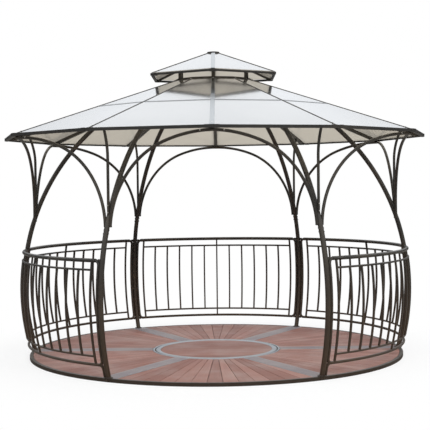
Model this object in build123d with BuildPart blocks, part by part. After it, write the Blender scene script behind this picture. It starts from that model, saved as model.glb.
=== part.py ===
from build123d import *
import math
import os

os.makedirs("parts", exist_ok=True)

# Round iron garden canopy: six bowed posts on a round boarded deck, with railing
# panels in five bays, an open entrance bay, a twelve-sided glazed roof and a small
# raised cupola over the vent. +Z is up, the entrance faces -Y, and the origin is on
# the ground under the middle of the deck.

# Main sizes, in millimetres
eave_radius = 2100
eave_clear_height = 2104
eave_overhang = 250
roof_rise = 560
deck_height = 32
rail_height = 1010

# Deck
deck_radius = eave_radius - eave_overhang
rim_width = 34
strip_width = 145
medallion_radius = 637
medallion_ring_width = 77
board_drop = 2

# Posts and roof ribs follow one bow, widest at about hip height
post_radius = 23
rib_radius = 22
foot_edge = 2
bow_widest_height = 0.303 * eave_clear_height
bow_bulge = 0.155 * bow_widest_height
splice_height = 0.613 * eave_clear_height
foot_r = deck_radius - post_radius - foot_edge
bow_radius = (bow_bulge**2 + bow_widest_height**2) / (2 * bow_bulge)
bow_center_r = foot_r + bow_bulge - bow_radius
rib_turn_angle = 48

# Roof
gutter_width = 36
gutter_height = 26
panel_thickness = 10
sheet_gap = 1
rafter_width = 36
rafter_depth = 30
tail_gap = 2
cap_width = 40
cap_thickness = 5
joint_share = 0.5
joint_width = 24
ring_radius = 396
ring_width = 38
ring_stand = 14
ring_depth = 72
rib_drop = 43

# Arms that leave the ribs: bay arches and outer brackets
arch_radius = 14
arch_rafter_gap = 0.5
arch_inset = 8
arch_foot_rise = 12
arch_foot_side = 26
arch_crown_inset = 14.5
arch_crown_turn = 20
arch_crown_share = 1.35
clip_length = 34
bracket_radius = 12.5
bracket_inset = 20
bracket_foot_rise = 88
bracket_knee_drop = 224
bracket_reach = 235

# Railing panels
top_rail_radius = 17
thin_rail_radius = 9.5
loop_tube_radius = 13
loop_bend = 40
leg_radius = 12
leg_bend = 34
socket_wall = 1
socket_depth = 4
socket_gap = 0.4
bar_width = 16
upper_thin_rail_drop = 80
lower_thin_rail_height = 186
bottom_rail_height = 111
stile_angle = 26.6
bar_pitch = stile_angle / 6

# Cupola
cupola_radius = 700
cupola_gap = 20
cupola_rise = 231
cupola_frame_height = 18
cupola_frame_width = 30
cupola_panel_thickness = 8
cupola_rafter_depth = 18
cupola_rafter_width = 24
cupola_tip_radius = 50
cupola_cap_radius = 62
cupola_cap_height = 10
strut_radius = 17

sides = {
    "right": 0,
    "back_right": 60,
    "back_left": 120,
    "left": 180,
    "front_left": 240,
    "front_right": 300,
}
railed_bays = {
    "front_right": 330,
    "right": 30,
    "back": 90,
    "left": 150,
    "front_left": 210,
}
leg_sides = {
    "front_right": -1,
    "front_left": 1,
}
arched_bays = dict(railed_bays)
arched_bays["entrance"] = 270


def radial_plane(angle):
    turn = math.radians(angle)
    return Plane(
        origin=(0, 0, 0),
        x_dir=(math.cos(turn), math.sin(turn), 0),
        z_dir=(math.sin(turn), -math.cos(turn), 0),
    )


def bow_r(height):
    return bow_center_r + math.sqrt(bow_radius**2 - (height - bow_widest_height) ** 2)


def bow_point(height):
    return (bow_r(height), deck_height + height)


def bow_point_at(angle):
    turn = math.radians(angle)
    return (
        bow_center_r + bow_radius * math.cos(turn),
        deck_height + bow_widest_height + bow_radius * math.sin(turn),
    )


eave_bottom = deck_height + eave_clear_height
roof_slope = roof_rise / (eave_radius - ring_radius)


def roof_z(radius):
    return eave_bottom + gutter_height / 2 + roof_slope * (eave_radius - radius)


# Deck rim, a rolled flat band round the boards
with BuildPart() as deck_rim:
    with BuildSketch() as rim_outline:
        Circle(deck_radius)
        Circle(deck_radius - rim_width, mode=Mode.SUBTRACT)
    extrude(amount=deck_height)
    chamfer(deck_rim.edges().group_by(Axis.Z)[-1], 2)
deck_rim.part.label = "deck_rim"
export_step(deck_rim.part, "parts/deck_rim.step")

# Boarded sectors between the grey strips
with BuildPart() as deck_boards:
    with BuildSketch() as sector_outline:
        Circle(deck_radius - rim_width)
        Circle(medallion_radius, mode=Mode.SUBTRACT)
        with PolarLocations(0, 3):
            Rectangle(2 * deck_radius, strip_width, mode=Mode.SUBTRACT)
    extrude(amount=deck_height - board_drop)
deck_boards.part.label = "deck_boards"
export_step(deck_boards.part, "parts/deck_boards.step")

# Grey radial strips under the posts
with BuildPart() as deck_strips:
    with BuildSketch() as strip_outline:
        with PolarLocations(0, 3):
            Rectangle(2 * deck_radius, strip_width)
        Circle(deck_radius - rim_width, mode=Mode.INTERSECT)
        Circle(medallion_radius, mode=Mode.SUBTRACT)
    extrude(amount=deck_height)
deck_strips.part.label = "deck_strips"
export_step(deck_strips.part, "parts/deck_strips.step")

# Middle medallion: a grey ring and the straight boards it holds
with BuildPart() as medallion_ring:
    with BuildSketch() as medallion_outline:
        Circle(medallion_radius)
        Circle(medallion_radius - medallion_ring_width, mode=Mode.SUBTRACT)
    extrude(amount=deck_height)
medallion_ring.part.label = "medallion_ring"
export_step(medallion_ring.part, "parts/medallion_ring.step")

with BuildPart() as medallion_boards:
    with BuildSketch() as medallion_inside:
        Circle(medallion_radius - medallion_ring_width)
    extrude(amount=deck_height - board_drop)
medallion_boards.part.label = "medallion_boards"
export_step(medallion_boards.part, "parts/medallion_boards.step")

# Bowed post, from the deck to the splice
with BuildPart() as post:
    with BuildLine(Plane.XZ) as post_path:
        ThreePointArc(bow_point(-deck_height), bow_point(splice_height / 2), bow_point(splice_height))
    with BuildSketch(Plane(origin=post_path.line @ 0, z_dir=post_path.line % 0)) as post_section:
        Circle(post_radius)
    sweep()
    split(bisect_by=Plane.XY.offset(deck_height), keep=Keep.TOP)

for side, angle in sides.items():
    with BuildPart() as turned_post:
        add(post.part, rotation=(0, 0, angle))
    turned_post.part.label = f"post_{side}"
    export_step(turned_post.part, f"parts/post_{side}.step")

# Space inside the top ring, where ribs and rafters stop
with BuildPart() as ring_space:
    with BuildSketch(Plane.XY.offset(deck_height + splice_height)) as ring_space_outline:
        RegularPolygon(ring_radius, 12)
    extrude(amount=eave_radius)

# Roof rib, from the splice up to the top ring
splice_angle = math.degrees(math.asin((splice_height - bow_widest_height) / bow_radius))
with BuildPart() as rib:
    with BuildLine(Plane.XZ) as rib_path:
        lower_bow = ThreePointArc(
            bow_point(splice_height),
            bow_point_at((splice_angle + rib_turn_angle) / 2),
            bow_point_at(rib_turn_angle),
        )
        TangentArc(
            lower_bow @ 1,
            (ring_radius - ring_width, roof_z(ring_radius) - rib_drop),
            tangent=lower_bow % 1,
        )
    with BuildSketch(Plane(origin=rib_path.line @ 0, z_dir=rib_path.line % 0)) as rib_section:
        Circle(rib_radius)
    sweep()
    add(ring_space.part, mode=Mode.SUBTRACT)

for side, angle in sides.items():
    with BuildPart() as turned_rib:
        add(rib.part, rotation=(0, 0, angle))
    turned_rib.part.label = f"rib_{side}"
    export_step(turned_rib.part, f"parts/rib_{side}.step")

# Solid shapes of the roof pitch, used to trim what lies over and under the glazing
with BuildPart() as roof_top:
    with BuildSketch(Plane.XY.offset(roof_z(eave_radius + 50))):
        RegularPolygon(eave_radius + 50, 12)
    with BuildSketch(Plane.XY.offset(roof_z(ring_radius - 100))):
        RegularPolygon(ring_radius - 100, 12)
    loft(ruled=True)

panel_drop = panel_thickness * math.sqrt(1 + roof_slope**2)

with BuildPart() as roof_under:
    add(Pos(0, 0, -panel_drop) * roof_top.part)

with BuildPart() as inside_gutter:
    with BuildSketch(Plane.XY.offset(eave_bottom - rafter_depth)):
        RegularPolygon(eave_radius - gutter_width, 12)
        RegularPolygon(ring_radius, 12, mode=Mode.SUBTRACT)
    extrude(amount=1000)

# Hip rafters under the glazing, twelve of them
with BuildPart() as hip_bar:
    with BuildLine(Plane.XZ) as hip_line:
        Line((ring_radius - 30, roof_z(ring_radius - 30)), (eave_radius, roof_z(eave_radius)))
    hip_start = Plane(origin=hip_line.line @ 0, x_dir=(0, 1, 0), z_dir=hip_line.line % 0)
    with BuildSketch(hip_start) as rafter_section:
        Rectangle(rafter_width, 2 * (rafter_depth + panel_thickness))
    sweep()
    add(roof_under.part, mode=Mode.INTERSECT)
    add(inside_gutter.part, mode=Mode.INTERSECT)

with BuildPart() as hip_rafters:
    for hip in range(12):
        add(hip_bar.part, rotation=(0, 0, 30 * hip))
    for angle in sides.values():
        add(rib.part, rotation=(0, 0, angle), mode=Mode.SUBTRACT)
    split(bisect_by=Plane.XY.offset(eave_bottom + tail_gap), keep=Keep.TOP)
hip_rafters.part.label = "hip_rafters"
export_step(hip_rafters.part, "parts/hip_rafters.step")

# Caps screwed down over the glazing on the hips
with BuildPart() as hip_cap:
    with BuildLine(Plane.XZ) as cap_line:
        Line((ring_radius - 30, roof_z(ring_radius - 30)), (eave_radius, roof_z(eave_radius)))
    with BuildSketch(hip_start) as cap_section:
        Rectangle(cap_width, 2 * cap_thickness)
    sweep()
    add(roof_top.part, mode=Mode.SUBTRACT)
    add(inside_gutter.part, mode=Mode.INTERSECT)

with BuildPart() as hip_caps:
    for hip in range(12):
        add(hip_cap.part, rotation=(0, 0, 30 * hip))
hip_caps.part.label = "hip_caps"
export_step(hip_caps.part, "parts/hip_caps.step")

# Strip that joins the upper and lower glazing of each facet
joint_radius = ring_radius + joint_share * (eave_radius - ring_radius)

with BuildPart() as joint_space:
    with BuildSketch() as joint_outline:
        RegularPolygon(joint_radius + joint_width / 2, 12)
        RegularPolygon(joint_radius - joint_width / 2, 12, mode=Mode.SUBTRACT)
    extrude(amount=4000)

with BuildPart() as panel_joints:
    add(Pos(0, 0, cap_thickness / 2) * roof_top.part)
    add(Pos(0, 0, -cap_thickness / 2) * roof_under.part, mode=Mode.SUBTRACT)
    add(joint_space.part, mode=Mode.INTERSECT)
    add(hip_caps.part, mode=Mode.SUBTRACT)
    add(hip_rafters.part, mode=Mode.SUBTRACT)
panel_joints.part.label = "panel_joints"
export_step(panel_joints.part, "parts/panel_joints.step")

# Glazing of the main roof: twin-wall sheets in two rows, one pair to a facet, that
# meet with a small gap under the hip caps
with BuildPart() as facet_wedge:
    with BuildSketch() as facet_outline:
        with BuildLine():
            Polyline(
                (0, 0),
                (2 * eave_radius, 0),
                (2 * eave_radius * math.cos(math.radians(30)), eave_radius),
                close=True,
            )
        make_face()
        offset(amount=-sheet_gap, kind=Kind.INTERSECTION)
    extrude(amount=2 * (eave_bottom + roof_rise))

with BuildPart() as facet_glazing:
    add(roof_top.part)
    add(roof_under.part, mode=Mode.SUBTRACT)
    add(inside_gutter.part, mode=Mode.INTERSECT)
    add(joint_space.part, mode=Mode.SUBTRACT)
    add(facet_wedge.part, mode=Mode.INTERSECT)

lower_sheet, upper_sheet = facet_glazing.solids().sort_by(Axis.Z)

with BuildPart() as lower_glazing:
    for facet in range(12):
        add(lower_sheet, rotation=(0, 0, 30 * facet))
lower_glazing.part.label = "lower_glazing"
export_step(lower_glazing.part, "parts/lower_glazing.step")

with BuildPart() as upper_glazing:
    for facet in range(12):
        add(upper_sheet, rotation=(0, 0, 30 * facet))
upper_glazing.part.label = "upper_glazing"
export_step(upper_glazing.part, "parts/upper_glazing.step")

# Slim gutter band round the eave
with BuildPart() as eave_gutter:
    with BuildSketch(Plane.XY.offset(eave_bottom)) as gutter_outline:
        RegularPolygon(eave_radius, 12)
        RegularPolygon(eave_radius - gutter_width, 12, mode=Mode.SUBTRACT)
    extrude(amount=gutter_height)
eave_gutter.part.label = "eave_gutter"
export_step(eave_gutter.part, "parts/eave_gutter.step")

# Top ring round the vent
ring_top = roof_z(ring_radius) + ring_stand

with BuildPart() as top_ring:
    with BuildSketch(Plane.XY.offset(ring_top - ring_depth)) as ring_outline:
        RegularPolygon(ring_radius, 12)
        RegularPolygon(ring_radius - ring_width, 12, mode=Mode.SUBTRACT)
    extrude(amount=ring_depth)
top_ring.part.label = "top_ring"
export_step(top_ring.part, "parts/top_ring.step")

# Cupola: a six-sided pitched lid on short struts over the vent
cupola_base = ring_top + cupola_gap
cupola_slope = cupola_rise / (cupola_radius - cupola_tip_radius)


def cupola_z(radius):
    return cupola_base + cupola_frame_height + cupola_slope * (cupola_radius - radius)


with BuildPart() as cupola_top:
    with BuildSketch(Plane.XY.offset(cupola_z(cupola_radius))):
        RegularPolygon(cupola_radius, 6, rotation=30)
    with BuildSketch(Plane.XY.offset(cupola_z(cupola_tip_radius))):
        RegularPolygon(cupola_tip_radius, 6, rotation=30)
    loft(ruled=True)

cupola_drop = cupola_panel_thickness * math.sqrt(1 + cupola_slope**2)

with BuildPart() as lid_sheet:
    with BuildSketch(Plane.XY.offset(cupola_base)) as lid_outline:
        RegularPolygon(cupola_radius - cupola_frame_width, 6, rotation=30)
    extrude(amount=2 * cupola_rise)
    add(cupola_top.part, mode=Mode.INTERSECT)
    add(Pos(0, 0, -cupola_drop) * cupola_top.part, mode=Mode.SUBTRACT)
    with BuildSketch(Plane.XY) as below_lid:
        RegularPolygon(cupola_radius, 6, rotation=30)
    extrude(amount=cupola_z(cupola_radius) - cupola_drop, mode=Mode.SUBTRACT)
    with BuildSketch() as lid_wedge:
        with BuildLine():
            Polyline(
                (0, 0),
                (2 * cupola_radius * math.cos(math.radians(30)), -cupola_radius),
                (2 * cupola_radius * math.cos(math.radians(30)), cupola_radius),
                close=True,
            )
        make_face()
        offset(amount=-sheet_gap, kind=Kind.INTERSECTION)
    extrude(amount=2 * cupola_z(0), mode=Mode.INTERSECT)

with BuildPart() as cupola_glazing:
    for sheet in range(6):
        add(lid_sheet.part, rotation=(0, 0, 60 * sheet))
cupola_glazing.part.label = "cupola_glazing"
export_step(cupola_glazing.part, "parts/cupola_glazing.step")

with BuildPart() as cupola_frame:
    with BuildSketch(Plane.XY.offset(cupola_base)) as lid_frame_outline:
        RegularPolygon(cupola_radius, 6, rotation=30)
        RegularPolygon(cupola_radius - cupola_frame_width, 6, rotation=30, mode=Mode.SUBTRACT)
    extrude(amount=cupola_frame_height)
cupola_frame.part.label = "cupola_frame"
export_step(cupola_frame.part, "parts/cupola_frame.step")

with BuildPart() as under_lid:
    add(Pos(0, 0, -cupola_drop) * cupola_top.part)

with BuildPart() as inside_lid_frame:
    with BuildSketch(Plane.XY.offset(ring_top)):
        RegularPolygon(cupola_radius - cupola_frame_width, 6, rotation=30)
    extrude(amount=1000)

# Six hip bars under the lid glazing
with BuildPart() as lid_bar:
    with BuildLine(Plane.XZ) as lid_hip_line:
        Line((0, cupola_z(0)), (cupola_radius, cupola_z(cupola_radius)))
    lid_hip_start = Plane(
        origin=lid_hip_line.line @ 0,
        x_dir=(0, 1, 0),
        z_dir=lid_hip_line.line % 0,
    )
    with BuildSketch(lid_hip_start) as lid_rafter_section:
        Rectangle(cupola_rafter_width, 2 * (cupola_rafter_depth + cupola_panel_thickness))
    sweep()

with BuildPart() as cupola_rafters:
    for hip in range(6):
        add(lid_bar.part, rotation=(0, 0, 30 + 60 * hip))
    add(under_lid.part, mode=Mode.INTERSECT)
    add(inside_lid_frame.part, mode=Mode.INTERSECT)
cupola_rafters.part.label = "cupola_rafters"
export_step(cupola_rafters.part, "parts/cupola_rafters.step")

# Flat cap disc where the lid hips meet
with BuildPart() as cupola_cap:
    with BuildSketch(Plane.XY.offset(cupola_z(cupola_tip_radius) - 14)) as cap_disc:
        Circle(cupola_cap_radius)
    extrude(amount=14 + cupola_cap_height)
    chamfer(cupola_cap.edges().group_by(Axis.Z)[-1], 3)
    add(cupola_top.part, mode=Mode.SUBTRACT)
cupola_cap.part.label = "cupola_cap"
export_step(cupola_cap.part, "parts/cupola_cap.step")

# Short struts that hold the lid off the top ring, cut to the slope of the hip bars
lid_slope_length = math.sqrt(1 + cupola_slope**2)
lid_bar_drop = (cupola_rafter_depth + cupola_panel_thickness) * lid_slope_length
lid_bar_under = Plane(
    origin=(cupola_radius, 0, cupola_z(cupola_radius) - lid_bar_drop),
    x_dir=(0, 1, 0),
    z_dir=(cupola_slope, 0, 1),
)

with BuildPart() as strut:
    with BuildSketch(Plane.XY.offset(ring_top)) as strut_section:
        with Locations((ring_radius - ring_width / 2, 0)):
            Circle(strut_radius)
    extrude(amount=cupola_rise)
    split(bisect_by=lid_bar_under, keep=Keep.BOTTOM)

with BuildPart() as cupola_struts:
    for hip in range(6):
        add(strut.part, rotation=(0, 0, 30 + 60 * hip))
cupola_struts.part.label = "cupola_struts"
export_step(cupola_struts.part, "parts/cupola_struts.step")

# Arch of a bay. Each half is a tube that leaves the side of its post's rib just over the
# splice, bent in a plane that leans in a little, and the halves are mitred under the eave.
arch_height = eave_clear_height + tail_gap - arch_rafter_gap - arch_radius
arch_foot_height = splice_height + arch_foot_rise
arch_foot_r = bow_r(arch_foot_height) - arch_inset
arch_mid_r = eave_radius - gutter_width - arch_crown_inset
half_bay = math.radians(30)
arch_plane_r = arch_mid_r * math.cos(half_bay)
arch_half_span = arch_mid_r * math.sin(half_bay)
arch_lean = math.atan((arch_foot_r - arch_plane_r) / (arch_height - arch_foot_height))
arch_rise = (arch_height - arch_foot_height) / math.cos(arch_lean)
arch_crown_radius = arch_crown_share * arch_half_span
arch_crown_center = (arch_half_span, arch_rise - arch_crown_radius)
post_out = Vector(math.cos(half_bay), -math.sin(half_bay), 0)
arm_plane = Plane(
    origin=post_out * arch_foot_r + Vector(0, 0, deck_height + arch_foot_height),
    x_dir=(math.sin(half_bay), math.cos(half_bay), 0),
    z_dir=post_out * math.cos(arch_lean) + Vector(0, 0, math.sin(arch_lean)),
)

with BuildPart() as arch:
    with BuildLine(arm_plane) as arm_path:
        Line((arch_half_span + clip_length, arch_rise), (arch_half_span, arch_rise))
        crown = CenterArc(arch_crown_center, arch_crown_radius, 90, arch_crown_turn)
        TangentArc(
            crown @ 1,
            arm_plane.from_local_coords((arch_foot_side, 0)),
            tangent=crown % 1,
        )
    with BuildSketch(Plane(origin=arm_path.line @ 0, z_dir=arm_path.line % 0)) as arm_section:
        Circle(arch_radius)
    sweep()
    add(rib.part, rotation=(0, 0, -30), mode=Mode.SUBTRACT)
    split(bisect_by=Plane.XZ, keep=Keep.TOP)
    mirror(about=Plane.XZ)
    with Locations((arch_mid_r - clip_length, 0, deck_height + arch_height)):
        Box(
            clip_length,
            2 * arch_radius,
            eave_clear_height + tail_gap - arch_height,
            align=(Align.MIN, Align.CENTER, Align.MIN),
        )
    add(hip_rafters.part, mode=Mode.SUBTRACT)

for bay, angle in arched_bays.items():
    with BuildPart() as turned_arch:
        add(arch.part, rotation=(0, 0, angle))
    turned_arch.part.label = f"arch_{bay}"
    export_step(turned_arch.part, f"parts/arch_{bay}.step")

# Outer bracket of a post, from the rib up to the hip rafter at the eave
bracket_r = bow_r(arch_foot_height) - bracket_inset
bracket_start = (bracket_r, deck_height + arch_foot_height + bracket_foot_rise)
bracket_knee = (bracket_r, eave_bottom - bracket_knee_drop)
bracket_end_r = eave_radius - bracket_reach
bracket_end = (bracket_end_r, roof_z(bracket_end_r) - panel_thickness - rafter_depth / 2)

with BuildPart() as bracket:
    with BuildLine(Plane.XZ) as bracket_path:
        Line(bracket_start, bracket_knee)
        TangentArc(bracket_knee, bracket_end, tangent=(0, 1))
    with BuildSketch(Plane(origin=bracket_path.line @ 0, z_dir=bracket_path.line % 0)) as bracket_section:
        Circle(bracket_radius)
    sweep()
    add(rib.part, mode=Mode.SUBTRACT)
    add(hip_rafters.part, mode=Mode.SUBTRACT)
    add(arch.part, rotation=(0, 0, 30), mode=Mode.SUBTRACT)
    add(arch.part, rotation=(0, 0, -30), mode=Mode.SUBTRACT)

for side, angle in sides.items():
    with BuildPart() as turned_bracket:
        add(bracket.part, rotation=(0, 0, angle))
    turned_bracket.part.label = f"bracket_{side}"
    export_step(turned_bracket.part, f"parts/bracket_{side}.step")


# Railing panel of one bay: curved rails, bars that follow the bow, and two end tubes
def bowed_bar(angle, low, high, section_width, section_round):
    plane = radial_plane(angle)
    with BuildPart(mode=Mode.PRIVATE) as bar:
        with BuildLine(plane) as bar_path:
            ThreePointArc(bow_point(low), bow_point((low + high) / 2), bow_point(high))
        start = Plane(
            origin=bar_path.line @ 0,
            x_dir=plane.z_dir,
            z_dir=bar_path.line % 0,
        )
        with BuildSketch(start) as bar_section:
            if section_round:
                Circle(section_width / 2)
            else:
                Rectangle(section_width, section_width)
        sweep()
    return bar.part


def curved_rail(height, radius, angle):
    with BuildPart(mode=Mode.PRIVATE) as rail:
        with BuildSketch(radial_plane(-angle)) as rail_section:
            with Locations(bow_point(height)):
                Circle(radius)
        revolve(axis=Axis.Z, revolution_arc=2 * angle)
    return rail.part


# Quarter bend from a rail into the upright beside a post, a socket over both tubes
def corner_bend(side, height, bend, radius, rise):
    plane = radial_plane(side * upright_angle)
    lean = math.asin((height - bow_widest_height) / bow_radius)
    along_bow = (Vector(0, 0, math.cos(lean)) - plane.x_dir * math.sin(lean)) * rise
    toward_middle = plane.z_dir * side
    bend_plane = Plane(
        origin=plane.from_local_coords(bow_point(height)),
        x_dir=toward_middle,
        z_dir=toward_middle.cross(along_bow),
    )
    with BuildPart(mode=Mode.PRIVATE) as corner:
        with BuildLine(bend_plane) as corner_path:
            CenterArc((bend, bend), bend, 180, 90)
        with BuildSketch(Plane(origin=corner_path.line @ 0, z_dir=corner_path.line % 0)):
            Circle(radius + socket_wall)
        sweep()
    return corner.part


# Leg that carries a panel on the deck where the bay beside it is the entrance
def rail_leg(side):
    with BuildPart(mode=Mode.PRIVATE) as leg:
        add(corner_bend(side, bottom_rail_height, leg_bend, leg_radius, -1))
        add(bowed_bar(side * upright_angle, -leg_radius, leg_high, 2 * leg_radius, True))
        split(bisect_by=Plane.XY.offset(deck_height), keep=Keep.TOP)
    return leg.part


# A panel's corner sockets stand almost against the posts, closest at the lower ones
upper_thin_rail_height = rail_height - upper_thin_rail_drop
upright_offset = post_radius + loop_tube_radius + socket_wall + socket_gap
upright_angle = 30 - math.degrees(upright_offset / bow_r(bottom_rail_height + loop_bend))
upright_low = bottom_rail_height + loop_bend - socket_depth
upright_high = rail_height - loop_bend + socket_depth
leg_high = bottom_rail_height - leg_bend + socket_depth
rail_end = loop_bend - socket_depth
top_rail_angle = upright_angle - math.degrees(rail_end / bow_r(rail_height))
bottom_rail_angle = upright_angle - math.degrees(rail_end / bow_r(bottom_rail_height))
with BuildPart() as rail_panel:
    add(curved_rail(rail_height, top_rail_radius, top_rail_angle))
    add(curved_rail(bottom_rail_height, loop_tube_radius, bottom_rail_angle))
    for side in (-1, 1):
        add(corner_bend(side, rail_height, loop_bend, loop_tube_radius, -1))
        add(corner_bend(side, bottom_rail_height, loop_bend, loop_tube_radius, 1))
        add(bowed_bar(side * upright_angle, upright_low, upright_high, 2 * loop_tube_radius, True))
    add(curved_rail(upper_thin_rail_height, thin_rail_radius, stile_angle))
    add(curved_rail(lower_thin_rail_height, thin_rail_radius, stile_angle))
    for step in range(-6, 7):
        angle = step * bar_pitch
        if step in (-6, 0, 6):
            add(bowed_bar(angle, bottom_rail_height, rail_height, bar_width, False))
        else:
            add(bowed_bar(angle, lower_thin_rail_height, upper_thin_rail_height, bar_width, False))

for bay, angle in railed_bays.items():
    with BuildPart() as bay_panel:
        add(rail_panel.part)
        if bay in leg_sides:
            add(rail_leg(leg_sides[bay]))
    with BuildPart() as turned_panel:
        add(bay_panel.part, rotation=(0, 0, angle))
    turned_panel.part.label = f"rail_panel_{bay}"
    export_step(turned_panel.part, f"parts/rail_panel_{bay}.step")
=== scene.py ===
import math
import random

import bmesh
import bpy
from mathutils import Euler, Matrix, Vector


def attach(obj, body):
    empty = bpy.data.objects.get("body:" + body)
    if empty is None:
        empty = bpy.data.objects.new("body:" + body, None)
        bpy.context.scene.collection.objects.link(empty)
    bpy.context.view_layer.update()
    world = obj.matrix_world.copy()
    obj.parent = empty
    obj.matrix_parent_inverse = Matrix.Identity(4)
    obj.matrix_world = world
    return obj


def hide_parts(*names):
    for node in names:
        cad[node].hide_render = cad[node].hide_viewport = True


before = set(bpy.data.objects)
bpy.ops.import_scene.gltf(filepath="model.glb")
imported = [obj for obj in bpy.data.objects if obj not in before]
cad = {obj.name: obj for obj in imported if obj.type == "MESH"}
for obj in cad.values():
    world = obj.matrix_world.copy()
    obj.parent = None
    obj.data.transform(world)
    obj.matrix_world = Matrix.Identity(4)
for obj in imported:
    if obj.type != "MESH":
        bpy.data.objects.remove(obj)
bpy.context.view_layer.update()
bpy.ops.object.select_all(action="DESELECT")

# Place for the photograph: a pale floor, an overcast sky that is brightest halfway up and
# darkest low down behind the canopy, one soft lamp from the front right, and a long lens
# at eye height.
sky_low_behind = (0.05, 0.05, 0.05, 1)
sky_low_front = (0.46, 0.46, 0.46, 1)
sky_halfway = (1.26, 1.29, 1.32, 1)
sky_overhead = (0.65, 0.67, 0.69, 1)
behind_to_front = (0.5, -0.6)
low_to_halfway = (0.10, 0.42)
halfway_to_overhead = (0.62, 0.92)
white = (1, 1, 1, 1)
floor_radius = 60
floor_pale = (0.94, 0.94, 0.94, 1)
floor_in_mirrors = (0.30, 0.28, 0.25, 1)
floor_fade_reaches = (1.86, 3.0)
floor_white_share = 0.76
lamp_place = Vector((6.0, -8.0, 5.0))
lamp_target = Vector((0, 0, 1.2))
camera_place = (0.088, -10.513, 1.672)
view_pitch = math.radians(1.62)
view_yaw = math.radians(0.48)
view_roll = math.radians(-0.62)


def feed(tree, node, inputs):
    for name, value in inputs.items():
        if isinstance(value, bpy.types.NodeSocket):
            tree.links.new(value, node.inputs[name])
        else:
            node.inputs[name].default_value = value


def add_node(tree, kind, inputs, **settings):
    node = tree.nodes.new("ShaderNode" + kind)
    for name, value in settings.items():
        setattr(node, name, value)
    feed(tree, node, inputs)
    return node


def split(tree, way):
    return add_node(tree, "SeparateXYZ", {"Vector": way}).outputs


def ramp(tree, value, low, high, start=0, end=1, curve="LINEAR"):
    inputs = {"Value": value, "From Min": low, "From Max": high, "To Min": start, "To Max": end}
    return add_node(tree, "MapRange", inputs, interpolation_type=curve).outputs["Result"]


def blend(tree, share, first, second):
    inputs = {"Factor": share, "A": first, "B": second}
    return add_node(tree, "Mix", inputs, data_type="RGBA").outputs["Result"]


def blend_shaders(tree, share, first, second):
    return add_node(tree, "MixShader", {"Fac": share, 1: first, 2: second}).outputs["Shader"]


sky = bpy.data.worlds.new("overcast_sky")
bpy.context.scene.world = sky
sky.use_nodes = True
sky_tree = sky.node_tree
sky_tree.nodes.clear()
sky_way = split(sky_tree, add_node(sky_tree, "TexCoord", {}).outputs["Generated"])
frontness = ramp(sky_tree, sky_way["Y"], *behind_to_front)
low_sky = blend(sky_tree, frontness, sky_low_behind, sky_low_front)
crown = ramp(sky_tree, sky_way["Z"], *halfway_to_overhead, curve="SMOOTHSTEP")
high_sky = blend(sky_tree, crown, sky_halfway, sky_overhead)
climb = ramp(sky_tree, sky_way["Z"], *low_to_halfway, curve="SMOOTHSTEP")
sky_colour = blend(sky_tree, climb, low_sky, high_sky)
sky_light = add_node(sky_tree, "Background", {"Color": sky_colour, "Strength": 1})
sky_seen = add_node(sky_tree, "Background", {"Color": white, "Strength": 1})
sky_mix = blend_shaders(
    sky_tree,
    add_node(sky_tree, "LightPath", {}).outputs["Is Camera Ray"],
    sky_light.outputs["Background"],
    sky_seen.outputs["Background"],
)
add_node(sky_tree, "OutputWorld", {"Surface": sky_mix})


def new_finish(name):
    finish = bpy.data.materials.new(name)
    finish.use_nodes = True
    return finish, finish.node_tree, finish.node_tree.nodes["Principled BSDF"]


def own_place(tree):
    return add_node(tree, "TexCoord", {}).outputs["Object"]


def maths(tree, operation, *values):
    return add_node(tree, "Math", dict(enumerate(values)), operation=operation).outputs["Value"]


bpy.ops.mesh.primitive_circle_add(
    vertices=64, radius=floor_radius, fill_type="NGON", location=(0, 0, 0)
)
floor = bpy.context.object
floor.name = "floor"
floor_paint, floor_tree, floor_shader = new_finish("pale_floor")
floor_rays = add_node(floor_tree, "LightPath", {}).outputs
unmirrored = maths(floor_tree, "SUBTRACT", 1, floor_rays["Is Glossy Ray"])
floor_tone = blend(floor_tree, unmirrored, floor_in_mirrors, floor_pale)
feed(floor_tree, floor_shader, {"Base Color": floor_tone, "Roughness": 0.95})
floor_reach = add_node(floor_tree, "VectorMath", {0: own_place(floor_tree)}, operation="LENGTH")
floor_fade = ramp(
    floor_tree,
    floor_reach.outputs["Value"],
    *floor_fade_reaches,
    start=floor_white_share,
    curve="SMOOTHSTEP",
)
floor_mix = blend_shaders(
    floor_tree,
    maths(floor_tree, "MULTIPLY", floor_fade, floor_rays["Is Camera Ray"]),
    floor_shader.outputs["BSDF"],
    add_node(floor_tree, "Emission", {}).outputs["Emission"],
)
feed(floor_tree, floor_tree.nodes["Material Output"], {"Surface": floor_mix})
floor.data.materials.append(floor_paint)

bpy.ops.object.light_add(type="AREA", location=lamp_place)
lamp = bpy.context.object
lamp.data.shape = "DISK"
lamp.data.size = 4.0
lamp.data.energy = 370
lamp.visible_glossy = False
lamp.rotation_euler = (lamp_target - lamp_place).to_track_quat("-Z", "Y").to_euler()

bpy.ops.object.camera_add(location=camera_place)
camera = bpy.context.object
aim = Euler((math.pi / 2 - view_pitch, 0, view_yaw)).to_matrix()
camera.rotation_euler = (aim @ Matrix.Rotation(view_roll, 3, "Z")).to_euler()
camera.data.sensor_width = 36
camera.data.lens = 87.8
camera.data.clip_end = 200
bpy.context.scene.camera = camera
bpy.context.scene.view_settings.view_transform = "Standard"

# Deck rim: a rolled steel band round the boards, powder coated near black. The coats of
# the canopy have fine orange peel and a slow drift of tone, are dusty where they face up,
# and carry a painted warm reflection of the deck, browner near the boards.
near_black = (0.025, 0.024, 0.023)
settled_dust = (0.36, 0.35, 0.33, 1)


def noise(tree, way, scale, detail=2, roughness=0.5):
    inputs = {"Vector": way, "Scale": scale, "Detail": detail, "Roughness": roughness}
    return add_node(tree, "TexNoise", inputs).outputs["Fac"]


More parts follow.
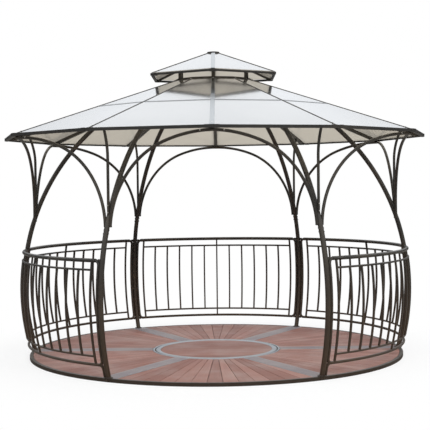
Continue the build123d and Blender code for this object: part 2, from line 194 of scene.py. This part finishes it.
def bumped(tree, height, strength, distance):
    inputs = {"Height": height, "Strength": strength, "Distance": distance}
    return add_node(tree, "Bump", inputs).outputs["Normal"]


def tinted(tone, red, green, blue):
    return (tone[0] * red, tone[1] * green, tone[2] * blue, 1)


def powder_coat(name, tone, roughness):
    coat, tree, shader = new_finish(name)
    place = own_place(tree)
    drift = add_node(tree, "ValToRGB", {"Fac": noise(tree, place, scale=3.5, detail=4)})
    dark_end, light_end = drift.color_ramp.elements
    dark_end.position = 0.35
    dark_end.color = tinted(tone, 0.75, 0.75, 0.75)
    light_end.position = 0.7
    light_end.color = tinted(tone, 1.5, 1.35, 1.15)
    # Painted reflection: the coat is painted browner towards the bottom, standing for the warm
    # reflection of the deck.
    painted_reflection_fade = ramp(tree, split(tree, place)["Z"], 0.2, 1.0)
    painted_deck_reflection = tinted(tone, 1.6, 1.12, 0.8)
    tone_with_painted_reflection = blend(tree, painted_reflection_fade, painted_deck_reflection, drift.outputs["Color"])
    surface = add_node(tree, "NewGeometry", {})
    facing_up = ramp(tree, split(tree, surface.outputs["Normal"])["Z"], 0.7, 1.0, end=0.45)
    patchy = noise(tree, place, scale=22, detail=5)
    dust = maths(tree, "MULTIPLY", facing_up, patchy)
    orange_peel = noise(tree, place, scale=420)
    finish = {
        "Metallic": 0.35,
        "Base Color": blend(tree, dust, tone_with_painted_reflection, settled_dust),
        "Roughness": ramp(tree, patchy, 0, 1, roughness - 0.06, roughness + 0.08),
        "Normal": bumped(tree, orange_peel, strength=0.12, distance=0.0006),
    }
    feed(tree, shader, finish)
    return coat


def coat_nodes(material, *starts):
    for name, node in cad.items():
        if name.startswith(starts):
            node.data.materials.clear()
            node.data.materials.append(material)


band_black = powder_coat("band_coat", near_black, roughness=0.45)
coat_nodes(band_black, "deck_rim")

# Gap shade under the boards: a near-black coated disc, painted shade that stands for the dark
# below the deck and is seen only in the gaps between the boards.
gap_shade_tone = (0.012, 0.011, 0.010)
gap_shade_radius = 1.813
gap_shade_low = 0.002
gap_shade_thickness = 0.005
gap_shade_edge = 0.001


def settle(piece, name, slot, material, *stands_for):
    piece.name = name
    piece.data.name = name
    bpy.ops.object.select_all(action="DESELECT")
    piece.select_set(True)
    bpy.context.view_layer.objects.active = piece
    bpy.ops.object.transform_apply(location=True, rotation=True, scale=True)
    piece.data.materials.clear()
    piece.data.materials.append(material)
    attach(piece, "root")
    if stands_for:
        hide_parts(*stands_for)
    bpy.ops.object.select_all(action="DESELECT")


def new_piece(size=(1, 1, 1)):
    piece = bpy.context.object
    piece.scale = size
    bpy.ops.object.transform_apply(location=True, rotation=True, scale=True)
    return piece


def choose(shape, kind, wanted):
    bpy.ops.mesh.select_mode(type=kind)
    bpy.ops.mesh.select_all(action="DESELECT")
    mesh = bmesh.from_edit_mesh(shape.data)
    for part in mesh.verts if kind == "VERT" else mesh.edges:
        if wanted(part):
            part.select_set(True)
    bmesh.update_edit_mesh(shape.data)


def rim_edges(height):
    def on_rim(edge):
        level = all(abs(corner.co.z - height) < 0.0002 for corner in edge.verts)
        return level and any(abs(face.normal.z) < 0.5 for face in edge.link_faces)

    return on_rim


def round_edges(piece, wanted, edge_round, segments=2):
    bpy.ops.object.mode_set(mode="EDIT")
    choose(piece, "EDGE", wanted)
    bpy.ops.mesh.bevel(offset=edge_round, segments=segments, affect="EDGES")
    bpy.ops.object.mode_set(mode="OBJECT")


def thicken(blank, depth, top, edge_round):
    bpy.ops.object.mode_set(mode="EDIT")
    bpy.ops.mesh.select_all(action="SELECT")
    bpy.ops.mesh.normals_make_consistent(inside=False)
    bpy.ops.mesh.extrude_region_move(TRANSFORM_OT_translate={"value": (0, 0, depth)})
    bpy.ops.mesh.select_all(action="SELECT")
    bpy.ops.mesh.normals_make_consistent(inside=False)
    round_edges(blank, rim_edges(top), edge_round)


# Painted shade: this near-black finish stands for the shade in the board gaps; the medallion
# groove uses it too.
gap_shade_and_groove_black = powder_coat("gap_shade_and_groove_black", gap_shade_tone, roughness=0.7)
bpy.ops.mesh.primitive_circle_add(
    vertices=96, radius=gap_shade_radius, fill_type="NGON", location=(0, 0, gap_shade_low)
)
gap_shade_disc = new_piece()
thicken(gap_shade_disc, gap_shade_thickness, gap_shade_low + gap_shade_thickness, gap_shade_edge)
settle(gap_shade_disc, "painted_gap_shade", "frame", gap_shade_and_groove_black)

# Sector boards: brushed red-brown wood composite, thirteen tapered boards to a sector,
# sawn to radial lines with narrow gaps, the outer two cut along the grey strips.
red_dark = (0.25, 0.098, 0.074)
red_light = (0.55, 0.285, 0.235)
walked_dust = (0.52, 0.44, 0.41, 1)
grain_stretch = (2.2, 150, 1)
sector_tones = (-0.15, 0.22)
sector_angles = range(30, 390, 60)
half_bay = 30
board_turn = math.radians(4.31)
board_count = 13
board_gap = 0.0042
board_inner = 0.6400
board_outer = 1.8135
board_middle = (board_inner + board_outer) / 2
board_top = 0.030
board_depth = 0.021
board_low = board_top - board_depth
board_edge = 0.0018
strip_half = 0.0725
dice = random.Random(7)


def brushed_board(name, dark, light):
    wood, tree, shader = new_finish(name)
    lie = add_node(tree, "UVMap", {}, uv_map="grain").outputs["UV"]
    stretched = add_node(tree, "Mapping", {"Vector": lie, "Scale": grain_stretch})
    streaks = noise(tree, stretched.outputs["Vector"], scale=1, detail=6, roughness=0.65)
    own_tone = add_node(tree, "Attribute", {}, attribute_name="tone").outputs["Fac"]
    shade = ramp(tree, maths(tree, "ADD", streaks, own_tone), 0.3, 1.15)
    colour = blend(tree, shade, (*dark, 1), (*light, 1))
    footfall = noise(tree, own_place(tree), scale=2.6, detail=5)
    chalk = ramp(tree, footfall, 0.42, 0.75, end=0.38)
    brush_inputs = {"Vector": lie, "Scale": 36, "Distortion": 0.4}
    brushing = add_node(tree, "TexWave", brush_inputs, bands_direction="Y").outputs["Fac"]
    relief = maths(tree, "ADD", brushing, streaks)
    finish = {
        "Specular IOR Level": 0.55,
        "Base Color": blend(tree, chalk, colour, walked_dust),
        "Roughness": ramp(tree, streaks, 0, 1, 0.42, 0.62),
        "Normal": bumped(tree, relief, strength=0.5, distance=0.0012),
    }
    feed(tree, shader, finish)
    return wood


def lay_grain(mesh, turn, tones):
    shift = dice.uniform(0, 9)
    tone = dice.uniform(*tones)
    for old in list(mesh.uv_layers):
        mesh.uv_layers.remove(old)
    layer = mesh.uv_layers.new(name="grain")
    run = Vector((math.cos(turn), math.sin(turn)))
    side = Vector((-math.sin(turn), math.cos(turn)))
    for loop in mesh.loops:
        spot = mesh.vertices[loop.vertex_index].co
        flat = spot.xy
        layer.data[loop.index].uv = (flat.dot(run) + shift, flat.dot(side) + spot.z + shift)
    mark = mesh.attributes.new("tone", "FLOAT", "POINT")
    mark.data.foreach_set("value", [tone] * len(mesh.vertices))


def join_pieces(pieces):
    bpy.ops.object.select_all(action="DESELECT")
    for piece in pieces:
        piece.select_set(True)
    bpy.context.view_layer.objects.active = pieces[0]
    bpy.ops.object.join()
    return bpy.context.object


def copy_moved(pattern, *moves):
    twin = pattern.copy()
    twin.data = pattern.data.copy()
    for move in moves:
        twin.data.transform(move)
    bpy.context.collection.objects.link(twin)
    return twin


def about_middle(angle):
    return Matrix.Rotation(math.radians(angle), 4, "Z")


def turned_copies(pattern, angles):
    copies = [copy_moved(pattern, about_middle(angle)) for angle in angles]
    bpy.data.objects.remove(pattern)
    return copies


def saw_off(place, facing):
    bpy.ops.mesh.select_all(action="SELECT")
    bpy.ops.mesh.bisect(plane_co=place, plane_no=facing, clear_outer=True)


def sector_board(turn):
    outer_width = 2 * board_outer * math.tan(board_turn / 2) - board_gap
    inner_width = 2 * board_inner * math.tan(board_turn / 2) - board_gap
    bpy.ops.mesh.primitive_plane_add(size=1, location=(board_middle, 0, board_low))
    board = new_piece((board_outer - board_inner, outer_width, 1))
    bpy.ops.object.mode_set(mode="EDIT")
    choose(board, "VERT", lambda corner: corner.co.x < board_middle)
    bpy.ops.transform.resize(
        value=(1, inner_width / outer_width, 1),
        center_override=(board_inner, 0, board_low),
    )
    bpy.ops.object.mode_set(mode="OBJECT")
    board.data.transform(Matrix.Rotation(turn, 4, "Z"))
    bpy.ops.object.mode_set(mode="EDIT")
    for edge in (-1, 1):
        strip_turn = edge * math.radians(half_bay)
        away = Vector((-math.sin(strip_turn), math.cos(strip_turn), 0)) * edge
        saw_off(away * -(strip_half + board_gap / 2), away)
    thicken(board, board_depth, board_top, board_edge)
    return board


composite_red = brushed_board("red_brown_board", red_dark, red_light)
boards = []
for step in range(board_count):
    turn = (step - (board_count - 1) / 2) * board_turn
    for angle, board in zip(sector_angles, turned_copies(sector_board(turn), sector_angles)):
        lay_grain(board.data, turn + math.radians(angle), sector_tones)
        boards.append(board)
settle(join_pieces(boards), "sector_boards", "boards", composite_red, "deck_boards")

# Grey strips: brushed composite in a cool grey, one under each post, fitted to the
# round of the ring at one end and of the rim at the other.
grey_dark = (0.19, 0.165, 0.180)
grey_light = (0.36, 0.315, 0.340)
grey_tones = (0, 0.25)
post_angles = range(0, 360, 60)
strip_near = 0.6387
strip_far = 1.8145
strip_middle = (strip_near + strip_far) / 2
strip_gap = 0.0015
strip_top = 0.032
strip_depth = 0.023
strip_edge = 0.0025
trim_width = 0.007
composite_grey = brushed_board("grey_board", grey_dark, grey_light)
bpy.ops.mesh.primitive_grid_add(
    x_subdivisions=1,
    y_subdivisions=8,
    size=1,
    location=(strip_middle, 0, strip_top - strip_depth),
)
first_strip = new_piece((strip_far - strip_near, 2 * (strip_half - trim_width - strip_gap), 1))
for corner in first_strip.data.vertices:
    reach = strip_near if corner.co.x < strip_middle else strip_far
    corner.co.x = math.sqrt(reach**2 - corner.co.y**2)
thicken(first_strip, strip_depth, strip_top, strip_edge)
strips = turned_copies(first_strip, post_angles)
for angle, strip in zip(post_angles, strips):
    lay_grain(strip.data, math.radians(angle), grey_tones)
settle(join_pieces(strips), "grey_strips", "grey_boards", composite_grey, "deck_strips")

# Medallion ring: two curved trims of pale anodised aluminium round the middle boards, a
# wide inner one and a narrow outer one, with a dark groove between them.
pale_tone = (0.50, 0.53, 0.57)
ring_inner = 0.5605
groove_inner = 0.6060
groove_outer = 0.6190
ring_outer = 0.6368
ring_low = 0.008
ring_top = 0.0318
ring_edge = 0.002
groove_top = 0.0240


def satin_metal(name, tone, roughness):
    metal, tree, shader = new_finish(name)
    place = own_place(tree)
    cloud = noise(tree, place, scale=9, detail=6)
    dull = tinted(tone, 0.82, 0.82, 0.82)
    bright = tinted(tone, 1.12, 1.12, 1.12)
    finish = {
        "Metallic": 1,
        "Base Color": blend(tree, cloud, dull, bright),
        "Roughness": ramp(tree, cloud, 0, 1, roughness - 0.06, roughness + 0.10),
        "Normal": bumped(tree, noise(tree, place, scale=260), strength=0.08, distance=0.0004),
    }
    feed(tree, shader, finish)
    return metal


def ring_trim(inner, outer, top):
    middle_level = (ring_low + top) / 2
    bpy.ops.mesh.primitive_plane_add(
        size=1, location=((inner + outer) / 2, 0, middle_level), rotation=(math.pi / 2, 0, 0)
    )
    trim = new_piece((outer - inner, top - ring_low, 1))
    bpy.ops.object.mode_set(mode="EDIT")
    choose(trim, "VERT", lambda corner: corner.co.z > middle_level)
    bpy.ops.mesh.bevel(offset=ring_edge, segments=2, affect="VERTICES")
    bpy.ops.mesh.select_all(action="SELECT")
    bpy.ops.mesh.delete(type="ONLY_FACE")
    bpy.ops.mesh.select_all(action="SELECT")
    bpy.ops.mesh.spin(steps=96, angle=2 * math.pi, center=(0, 0, 0), axis=(0, 0, 1))
    bpy.ops.mesh.select_all(action="SELECT")
    bpy.ops.mesh.remove_doubles(threshold=0.00005)
    bpy.ops.mesh.normals_make_consistent(inside=False)
    bpy.ops.object.mode_set(mode="OBJECT")
    bpy.ops.object.shade_smooth_by_angle(angle=math.radians(30))
    return trim


pale_metal = satin_metal("pale_trim", pale_tone, roughness=0.42)
inner_trim = ring_trim(ring_inner, groove_inner, ring_top)
outer_trim = ring_trim(groove_outer, ring_outer, ring_top)
ring_pair = join_pieces([inner_trim, outer_trim])
settle(ring_pair, "medallion_trims", "grey_boards", pale_metal, "medallion_ring")
groove = ring_trim(groove_inner, groove_outer, groove_top)
settle(groove, "medallion_groove", "grey_boards", gap_shade_and_groove_black)

# Strip trims: slim bars of the same pale metal along both edges of each grey strip, set
# into the gap between the strip and the boards beside it.
trim_near = 0.6385
trim_top = 0.03175
trim_height = 0.0145
trim_edge = 0.0012


def block(size, place=(0, 0, 0)):
    bpy.ops.mesh.primitive_cube_add(size=1, location=place)
    return new_piece(size)


trim_pair = []
for way in (-1, 1):
    aside = way * (strip_half - trim_width / 2)
    near = math.sqrt(trim_near**2 - aside**2)
    far = math.sqrt(strip_far**2 - aside**2)
    trim_size = (far - near, trim_width, trim_height)
    trim = block(trim_size, ((near + far) / 2, aside, trim_top - trim_height / 2))
    round_edges(trim, rim_edges(trim_top), trim_edge)
    trim_pair.append(trim)
trims = turned_copies(join_pieces(trim_pair), post_angles)
settle(join_pieces(trims), "strip_trims", "grey_boards", pale_metal)

# Middle boards: eight straight boards of the red-brown composite, laid side by side
# across the way in and cut round to fit the ring.
middle_tones = (-0.36, 0.04)
middle_reach = 0.5585
middle_count = 8
middle_pitch = 2 * middle_reach / middle_count
middle_edge = 0.0015
middle_boards = []
for step in range(middle_count):
    low_side = -middle_reach + step * middle_pitch + board_gap / 2
    high_side = low_side + middle_pitch - board_gap
    bpy.ops.mesh.primitive_circle_add(
        vertices=96, radius=middle_reach, fill_type="NGON", location=(0, 0, board_low)
    )
    board = new_piece()
    bpy.ops.object.mode_set(mode="EDIT")
    saw_off((0, low_side, 0), (0, -1, 0))
    saw_off((0, high_side, 0), (0, 1, 0))
    thicken(board, board_depth, board_top, middle_edge)
    lay_grain(board.data, 0, middle_tones)
    middle_boards.append(board)
settle(join_pieces(middle_boards), "middle_boards", "boards", composite_red, "medallion_boards")

# Posts and roof ribs: bowed round steel tube, coated dark bronze and spliced above the
# railing. A black shoe is bolted to the rim below each post, its foot plate lies on the
# rim, and a weld bead runs round the tube on it.
bronze_tone = (0.036, 0.033, 0.029)
shoe_size = (0.006, 0.064, 0.029)
shoe_reach = 1.8515
shoe_level = 0.0165
shoe_edge = 0.002
foot_reach = 1.825
foot_radius = 0.038
foot_thickness = 0.006
foot_top = 0.0381
foot_edge = 0.0015
bead_level = 0.0395
bead_radius = 0.0237
bead_half = 0.0032
bead_ripple = 0.0005
bead_ripples = 13


def outer_edges(reach):
    return lambda edge: all(corner.co.x > reach for corner in edge.verts)


def cylinder(vertices, radius, depth, place):
    bpy.ops.mesh.primitive_cylinder_add(
        vertices=vertices, radius=radius, depth=depth, location=place
    )
    return new_piece()


bronze = powder_coat("bronze_coat", bronze_tone, roughness=0.33)
coat_nodes(bronze, "post", "rib")
shoe = block(shoe_size, (shoe_reach, 0, shoe_level))
round_edges(shoe, outer_edges(shoe_reach), shoe_edge)
foot_place = (foot_reach, 0, foot_top - foot_thickness / 2)
foot_plate = cylinder(40, foot_radius, foot_thickness, foot_place)
round_edges(foot_plate, rim_edges(foot_top), foot_edge)
bpy.ops.mesh.primitive_torus_add(
    major_radius=bead_radius,
    minor_radius=bead_half,
    major_segments=32,
    minor_segments=8,
    location=(foot_reach, 0, bead_level),
)
bead = new_piece()
for corner in bead.data.vertices:
    spin = math.atan2(corner.co.y, corner.co.x - foot_reach)
    corner.co.z += bead_ripple * math.sin(bead_ripples * spin)
shoes = turned_copies(join_pieces([shoe, bead, foot_plate]), post_angles)
settle(join_pieces(shoes), "post_shoes", "frame", band_black)

# Bay arches and outer brackets: thinner steel tube, bolted through the ribs. Railing
# panels: welded rails, bars and bent corner tubes. All have the bronze coat of the posts.
coat_nodes(bronze, "arch", "bracket", "rail_panel")

# Tube plugs: domed steel plugs driven into the open lower ends of the arches and coated
# with them.
arch_end_level = 1.3335
arch_end_reach = 1.8073
arch_end_aside = 0.0278
plug_radius = 0.0137
plug_depth = 0.011
plug_dome = 0.008
plug_pair = []
for way in (-1, 1):
    plug_place = (arch_end_reach, way * arch_end_aside, arch_end_level - plug_depth / 2)
    plug = cylinder(24, plug_radius, plug_depth, plug_place)
    round_edges(plug, rim_edges(arch_end_level - plug_depth), plug_dome, segments=4)
    plug_pair.append(plug)
plugs = turned_copies(join_pieces(plug_pair), post_angles)
settle(join_pieces(plugs), "tube_plugs", "frame", bronze)

# Bolts: domed heads. Those on the crowns of the arches and the feet of the brackets are
# bare zinc. Those at the splices, the shoes and the railing panels are coated over.
zinc_tone = (0.62, 0.61, 0.58)
deck_top = 0.032
bow_high = 0.6375
bow_round = 2.1062
bow_middle = -0.1824
arch_reach = 1.775
arch_level = 2.1235
arch_half = arch_reach * math.tan(math.radians(half_bay))
bolt_radius = 0.0075
bolt_depth = 0.006
splice_levels = (1.236, 1.268)
splice_bolt_aside = 0.0225
shoe_bolt_reach = 1.8543
bracket_bolt_levels = (1.415, 1.475)
bracket_bolt_reach = 1.8072
crown_bolt_from_post = 0.105
crown_bolt_out = 0.0137
panel_bays = (330, 30, 90, 150, 210)
panel_bolt_turn = 28.85
panel_bolt_levels = (0.30, 0.85)
panel_bolt_out = 0.0125
panel_bolt_scale = 0.8


def bow_reach(height):
    return bow_middle + math.sqrt(bow_round**2 - (height - bow_high) ** 2)


def bolt_head(radius, depth):
    head = cylinder(12, radius, depth, (0, 0, depth / 2))
    round_edges(head, rim_edges(depth), depth * 0.45)
    return head


def radial(angle):
    turn = math.radians(angle)
    return Vector((math.cos(turn), math.sin(turn), 0))


def up(height):
    return Vector((0, 0, height))


def fasten(head, place, facing):
    tilt = up(1).rotation_difference(facing).to_matrix().to_4x4()
    return copy_moved(head, tilt, Matrix.Translation(place))


zinc = satin_metal("zinc_plate", zinc_tone, roughness=0.30)
head = bolt_head(bolt_radius, bolt_depth)
bolts = []
coated_bolts = []
for angle in post_angles:
    out = radial(angle)
    across = radial(angle + 90)
    for height in splice_levels:
        middle = out * bow_reach(height) + up(deck_top + height)
        for way in (1, -1):
            place = middle + across * way * splice_bolt_aside
            coated_bolts.append(fasten(head, place, across * way))
    coated_bolts.append(fasten(head, out * shoe_bolt_reach + up(shoe_level), out))
    for height in bracket_bolt_levels:
        place = out * bracket_bolt_reach + up(deck_top + height)
        bolts.append(fasten(head, place, out))
    for way in (-1, 1):
        crown_place = out * arch_reach + across * way * (arch_half - crown_bolt_from_post)
        place = crown_place + out * crown_bolt_out + up(arch_level)
        bolts.append(fasten(head, place, out))
head.data.transform(Matrix.Scale(panel_bolt_scale, 4))
for bay in panel_bays:
    for way in (-1, 1):
        out = radial(bay + way * panel_bolt_turn)
        for height in panel_bolt_levels:
            place = out * (bow_reach(height) + panel_bolt_out) + up(deck_top + height)
            coated_bolts.append(fasten(head, place, out))
bpy.data.objects.remove(head)
settle(join_pieces(bolts), "zinc_bolts", "frame", zinc)
settle(join_pieces(coated_bolts), "coated_bolts", "frame", bronze)

# Panel lugs: small flat plates welded between a post and the round corners of the railing
# panels. The lower corners beside the entrance stand on legs and have none.
lug_side = 0.026
lug_thickness = 0.005
lug_edge = 0.0008
lug_from_post = 0.0229
lug_low = 0.111
lug_high = 1.010
entrance_ends = ((330, -1), (210, 1))


def every_edge(edge):
    return True


lug = block((lug_thickness, lug_side, lug_side))
round_edges(lug, every_edge, lug_edge, segments=1)
lugs = []
for bay in panel_bays:
    for way in (-1, 1):
        heights = (lug_high,) if (bay, way) in entrance_ends else (lug_low, lug_high)
        aside = -way * (lug_from_post + lug_side / 2)
        for height in heights:
            lean = Matrix.Rotation(-math.asin((height - bow_high) / bow_round), 4, "Y")
            place = Matrix.Translation((bow_reach(height), aside, deck_top + height))
            lugs.append(copy_moved(lug, lean, place, about_middle(bay + half_bay * way)))
bpy.data.objects.remove(lug)
settle(join_pieces(lugs), "panel_lugs", "frame", bronze)

# Roof frame: hip rafters of flat steel bar from the ring to the eave, the slim black eave
# band, and the ring round the vent, all welded and powder coated.
coat_nodes(bronze, "hip_rafters", "top_ring")
coat_nodes(band_black, "eave_gutter")

# Glazing: bronze twin-wall sheet between the rafters and the caps, its ribs running down
# the slope of each facet. Seen from below it is lit through and its skin is painted light;
# from above its skin is painted dark as shade, and it mirrors the sky strongly.
# Painted light and shade: the underside skin is painted light for light coming through, the
# topside skin painted dark for the shade seen through the sheet.
painted_lit_underside = (0.80, 0.74, 0.64, 1)
painted_shaded_topside = (0.15, 0.145, 0.135, 1)
rib_tone = (0.12, 0.10, 0.08, 1)
rib_share = 0.35
rib_pitch = 0.021
roof_dust = (0.52, 0.50, 0.47, 1)
light_through = (0.95, 0.91, 0.84, 1)
through_shares = (0.86, 0.12)
# Painted reflection: the mirror colour is painted dimmer and warmer on the underside than on
# the top.
mirror_below = (0.55, 0.49, 0.40, 1)
mirror_above = (0.97, 0.98, 1.0, 1)
sheet_ior = 1.58


def ribs_down_slope(tree, place, facet_count, first_middle):
    facet = 2 * math.pi / facet_count
    spot = split(tree, place)
    bearing = maths(tree, "ARCTAN2", spot["Y"], spot["X"])
    facets_round = maths(tree, "DIVIDE", maths(tree, "SUBTRACT", bearing, first_middle), facet)
    whole_turn = maths(tree, "MULTIPLY", maths(tree, "ROUND", facets_round), facet)
    middle = maths(tree, "ADD", whole_turn, first_middle)
    along = maths(
        tree,
        "SUBTRACT",
        maths(tree, "MULTIPLY", spot["Y"], maths(tree, "COSINE", middle)),
        maths(tree, "MULTIPLY", spot["X"], maths(tree, "SINE", middle)),
    )
    wave = maths(tree, "COSINE", maths(tree, "MULTIPLY", along, 2 * math.pi / rib_pitch))
    lifted = maths(tree, "ADD", maths(tree, "MULTIPLY", wave, 0.5), 0.5)
    return maths(tree, "POWER", lifted, 6)


def twin_wall(name, facet_count, first_middle):
    sheet, tree, body = new_finish(name)
    place = own_place(tree)
    ribs = ribs_down_slope(tree, place, facet_count, first_middle)
    surface = add_node(tree, "NewGeometry", {})
    above = ramp(tree, split(tree, surface.outputs["Normal"])["Z"], -0.1, 0.1)
    # Painted light and shade by side: a light skin on faces turned down, a dark skin on faces
    # turned up.
    painted_side_skin = blend(tree, above, painted_lit_underside, painted_shaded_topside)
    ribbed = blend(tree, maths(tree, "MULTIPLY", ribs, rib_share), painted_side_skin, rib_tone)
    haze = ramp(tree, noise(tree, place, scale=1.7, detail=6), 0.45, 0.8, end=0.22)
    dusted = blend(tree, haze, ribbed, roof_dust)
    relief = bumped(tree, ribs, strength=0.06, distance=0.0004)
    finish = {"Base Color": dusted, "Roughness": 0.18, "IOR": sheet_ior, "Normal": relief}
    feed(tree, body, finish)
    through = add_node(tree, "BsdfTranslucent", {"Color": light_through})
    lit = blend_shaders(
        tree,
        ramp(tree, above, 0, 1, *through_shares),
        body.outputs["BSDF"],
        through.outputs["BSDF"],
    )
    # Painted reflection by side: the dimmer, warmer mirror colour below, the near-white one
    # above.
    sheen = blend(tree, above, mirror_below, mirror_above)
    mirror_inputs = {"Color": sheen, "Roughness": 0.10, "Normal": relief}
    mirror = add_node(tree, "BsdfGlossy", mirror_inputs)
    edge_on = add_node(tree, "Fresnel", {"IOR": sheet_ior}).outputs["Fac"]
    twice = maths(tree, "MULTIPLY", edge_on, 2)
    both_faces = maths(tree, "DIVIDE", twice, maths(tree, "ADD", edge_on, 1))
    outside = maths(tree, "SUBTRACT", 1, surface.outputs["Backfacing"])
    mirror_share = maths(tree, "MULTIPLY", both_faces, outside)
    glossed = blend_shaders(tree, mirror_share, lit, mirror.outputs["BSDF"])
    feed(tree, tree.nodes["Material Output"], {"Surface": glossed})
    return sheet


roof_sheet = twin_wall("roof_sheet", facet_count=12, first_middle=math.radians(15))
coat_nodes(roof_sheet, "lower_glazing", "upper_glazing")

# Joining strips: slim H bars of satin aluminium between the lower and the upper sheet of
# each facet, which hold the lower edge of the upper one.
joint_tone = (0.36, 0.37, 0.38)
joint_metal = satin_metal("joint_metal", joint_tone, roughness=0.38)
coat_nodes(joint_metal, "panel_joints")

# Hip caps: extruded aluminium bars with softly broken edges, screwed down over the sheets
# on the twelve hips. Those at the front, back and sides are wide and pale, the rest slim
# and coated dark.
cap_tone = (0.42, 0.44, 0.46)
cap_low_reach = 2.062
cap_high_reach = 0.398
cap_under = 0.0015
wide_cap_half = 0.020
wide_cap_rise = 0.006
wide_cap_edge = 0.002
slim_cap_half = 0.0045
slim_cap_rise = 0.004
slim_cap_edge = 0.0012
screw_radius = 0.006
screw_depth = 0.003
screw_sunk = 0.0005
screw_reaches = (cap_low_reach - 0.055, cap_high_reach + 0.03)
clear_height = 2.104
sheet_stand = 0.013
eave_reach = 2.1
eave_level = deck_top + clear_height + sheet_stand
vent_reach = 0.396
roof_rise = 0.56
roof_fall = roof_rise / (eave_reach - vent_reach)
hip_angles = range(0, 360, 30)
wide_hips = (0, 90, 180, 270)
slim_hips = [angle for angle in hip_angles if angle not in wide_hips]


def hip_height(reach):
    return eave_level + roof_fall * (eave_reach - reach)


def sloped_bar(inner, outer, height_at, half_width, under, rise, edge_round):
    drop = height_at(inner) - height_at(outer)
    length = math.hypot(outer - inner, drop)
    middle = (inner + outer) / 2
    bar = block((length, 2 * half_width, rise + under), (0, 0, (rise - under) / 2))
    round_edges(bar, rim_edges(rise), edge_round, segments=3)
    bar.data.transform(Matrix.Rotation(math.atan2(drop, outer - inner), 4, "Y"))
    bar.data.transform(Matrix.Translation((middle, 0, height_at(middle))))
    return bar


def hip_cap(half_width, rise, edge_round):
    ends = (cap_high_reach, cap_low_reach)
    return sloped_bar(*ends, hip_height, half_width, cap_under, rise, edge_round)


cap_metal = satin_metal("cap_metal", cap_tone, roughness=0.22)
screw = bolt_head(screw_radius, screw_depth)
up_slope = Vector((math.sin(math.atan(roof_fall)), 0, math.cos(math.atan(roof_fall))))
screws = []
for reach in screw_reaches:
    place = Vector((reach, 0, hip_height(reach))) + up_slope * (wide_cap_rise - screw_sunk)
    screws.append(fasten(screw, place, up_slope))
bpy.data.objects.remove(screw)
cap_screws = turned_copies(join_pieces(screws), hip_angles)
wide_cap = hip_cap(wide_cap_half, wide_cap_rise, wide_cap_edge)
wide_caps = turned_copies(wide_cap, wide_hips)
slim_cap = hip_cap(slim_cap_half, slim_cap_rise, slim_cap_edge)
slim_caps = turned_copies(slim_cap, slim_hips)
settle(join_pieces(wide_caps), "wide_hip_caps", "caps", cap_metal, "hip_caps")
settle(join_pieces(slim_caps), "slim_hip_caps", "caps", bronze)
settle(join_pieces(cap_screws), "cap_screws", "caps", zinc)

# Eave corner plates: short steel plates with the black coat, fixed over the mitres of the
# eave band, one on either side of each corner.
plate_size = (0.003, 0.052, 0.030)
plate_edge = 0.001
plate_out = 0.0008
plate_from_corner = 0.038
half_facet = 15
facet_reach = eave_reach * math.cos(math.radians(half_facet))
facet_half = eave_reach * math.sin(math.radians(half_facet))
plate = block(plate_size)
round_edges(plate, outer_edges(0), plate_edge, segments=1)
plates = []
for angle in hip_angles:
    for way in (-1, 1):
        aside = -way * (facet_half - plate_from_corner)
        place = Matrix.Translation((facet_reach + plate_out, aside, eave_level))
        plates.append(copy_moved(plate, place, about_middle(angle + half_facet * way)))
bpy.data.objects.remove(plate)
settle(join_pieces(plates), "eave_plates", "frame", band_black)

# Cupola: a six-sided lid with its own slim black frame, and hip bars, struts and a cap in
# the bronze coat, glazed with the same sheet.
# The lid's sheet has the same painted light underside and painted dark topside.
lid_sheet = twin_wall("lid_sheet", facet_count=6, first_middle=0)
coat_nodes(bronze, "cupola_rafters", "cupola_struts", "cupola_cap")
coat_nodes(band_black, "cupola_frame")
coat_nodes(lid_sheet, "cupola_glazing")

# Lid caps and corner blocks: aluminium bars fixed over the six hips of the lid, wide and
# pale at the front and the back, slim and dark at the sides, and a black coated block
# over each corner of the lid's frame.
lid_reach = 0.700
lid_edge_level = 2.761
lid_rise = 0.231
lid_run = 0.65
lid_fall = lid_rise / lid_run
lid_cap_high_reach = 0.058
lid_cap_low_reach = 0.684
lid_cap_under = 0.001
lid_hips = range(30, 390, 60)
wide_lid_hips = (90, 270)
slim_lid_hips = [angle for angle in lid_hips if angle not in wide_lid_hips]
wide_lid_cap_half = 0.019
wide_lid_cap_rise = 0.005
corner_radius = 0.036
corner_depth = 0.024
corner_place = (0.662, 0, 2.7525)
corner_edge = 0.002


def lid_height(reach):
    return lid_edge_level + lid_fall * (lid_reach - reach)


def lid_cap(half_width, rise, edge_round):
    ends = (lid_cap_high_reach, lid_cap_low_reach)
    return sloped_bar(*ends, lid_height, half_width, lid_cap_under, rise, edge_round)


slim_lid_cap = lid_cap(slim_cap_half, slim_cap_rise, slim_cap_edge)
slim_lid_caps = turned_copies(slim_lid_cap, slim_lid_hips)
settle(join_pieces(slim_lid_caps), "slim_lid_caps", "caps", bronze)
wide_lid_cap = lid_cap(wide_lid_cap_half, wide_lid_cap_rise, wide_cap_edge)
wide_lid_caps = turned_copies(wide_lid_cap, wide_lid_hips)
settle(join_pieces(wide_lid_caps), "wide_lid_caps", "caps", cap_metal)
corner_block = cylinder(6, corner_radius, corner_depth, corner_place)
round_edges(corner_block, every_edge, corner_edge)
lid_corners = turned_copies(corner_block, lid_hips)
settle(join_pieces(lid_corners), "lid_corner_blocks", "frame", band_black)
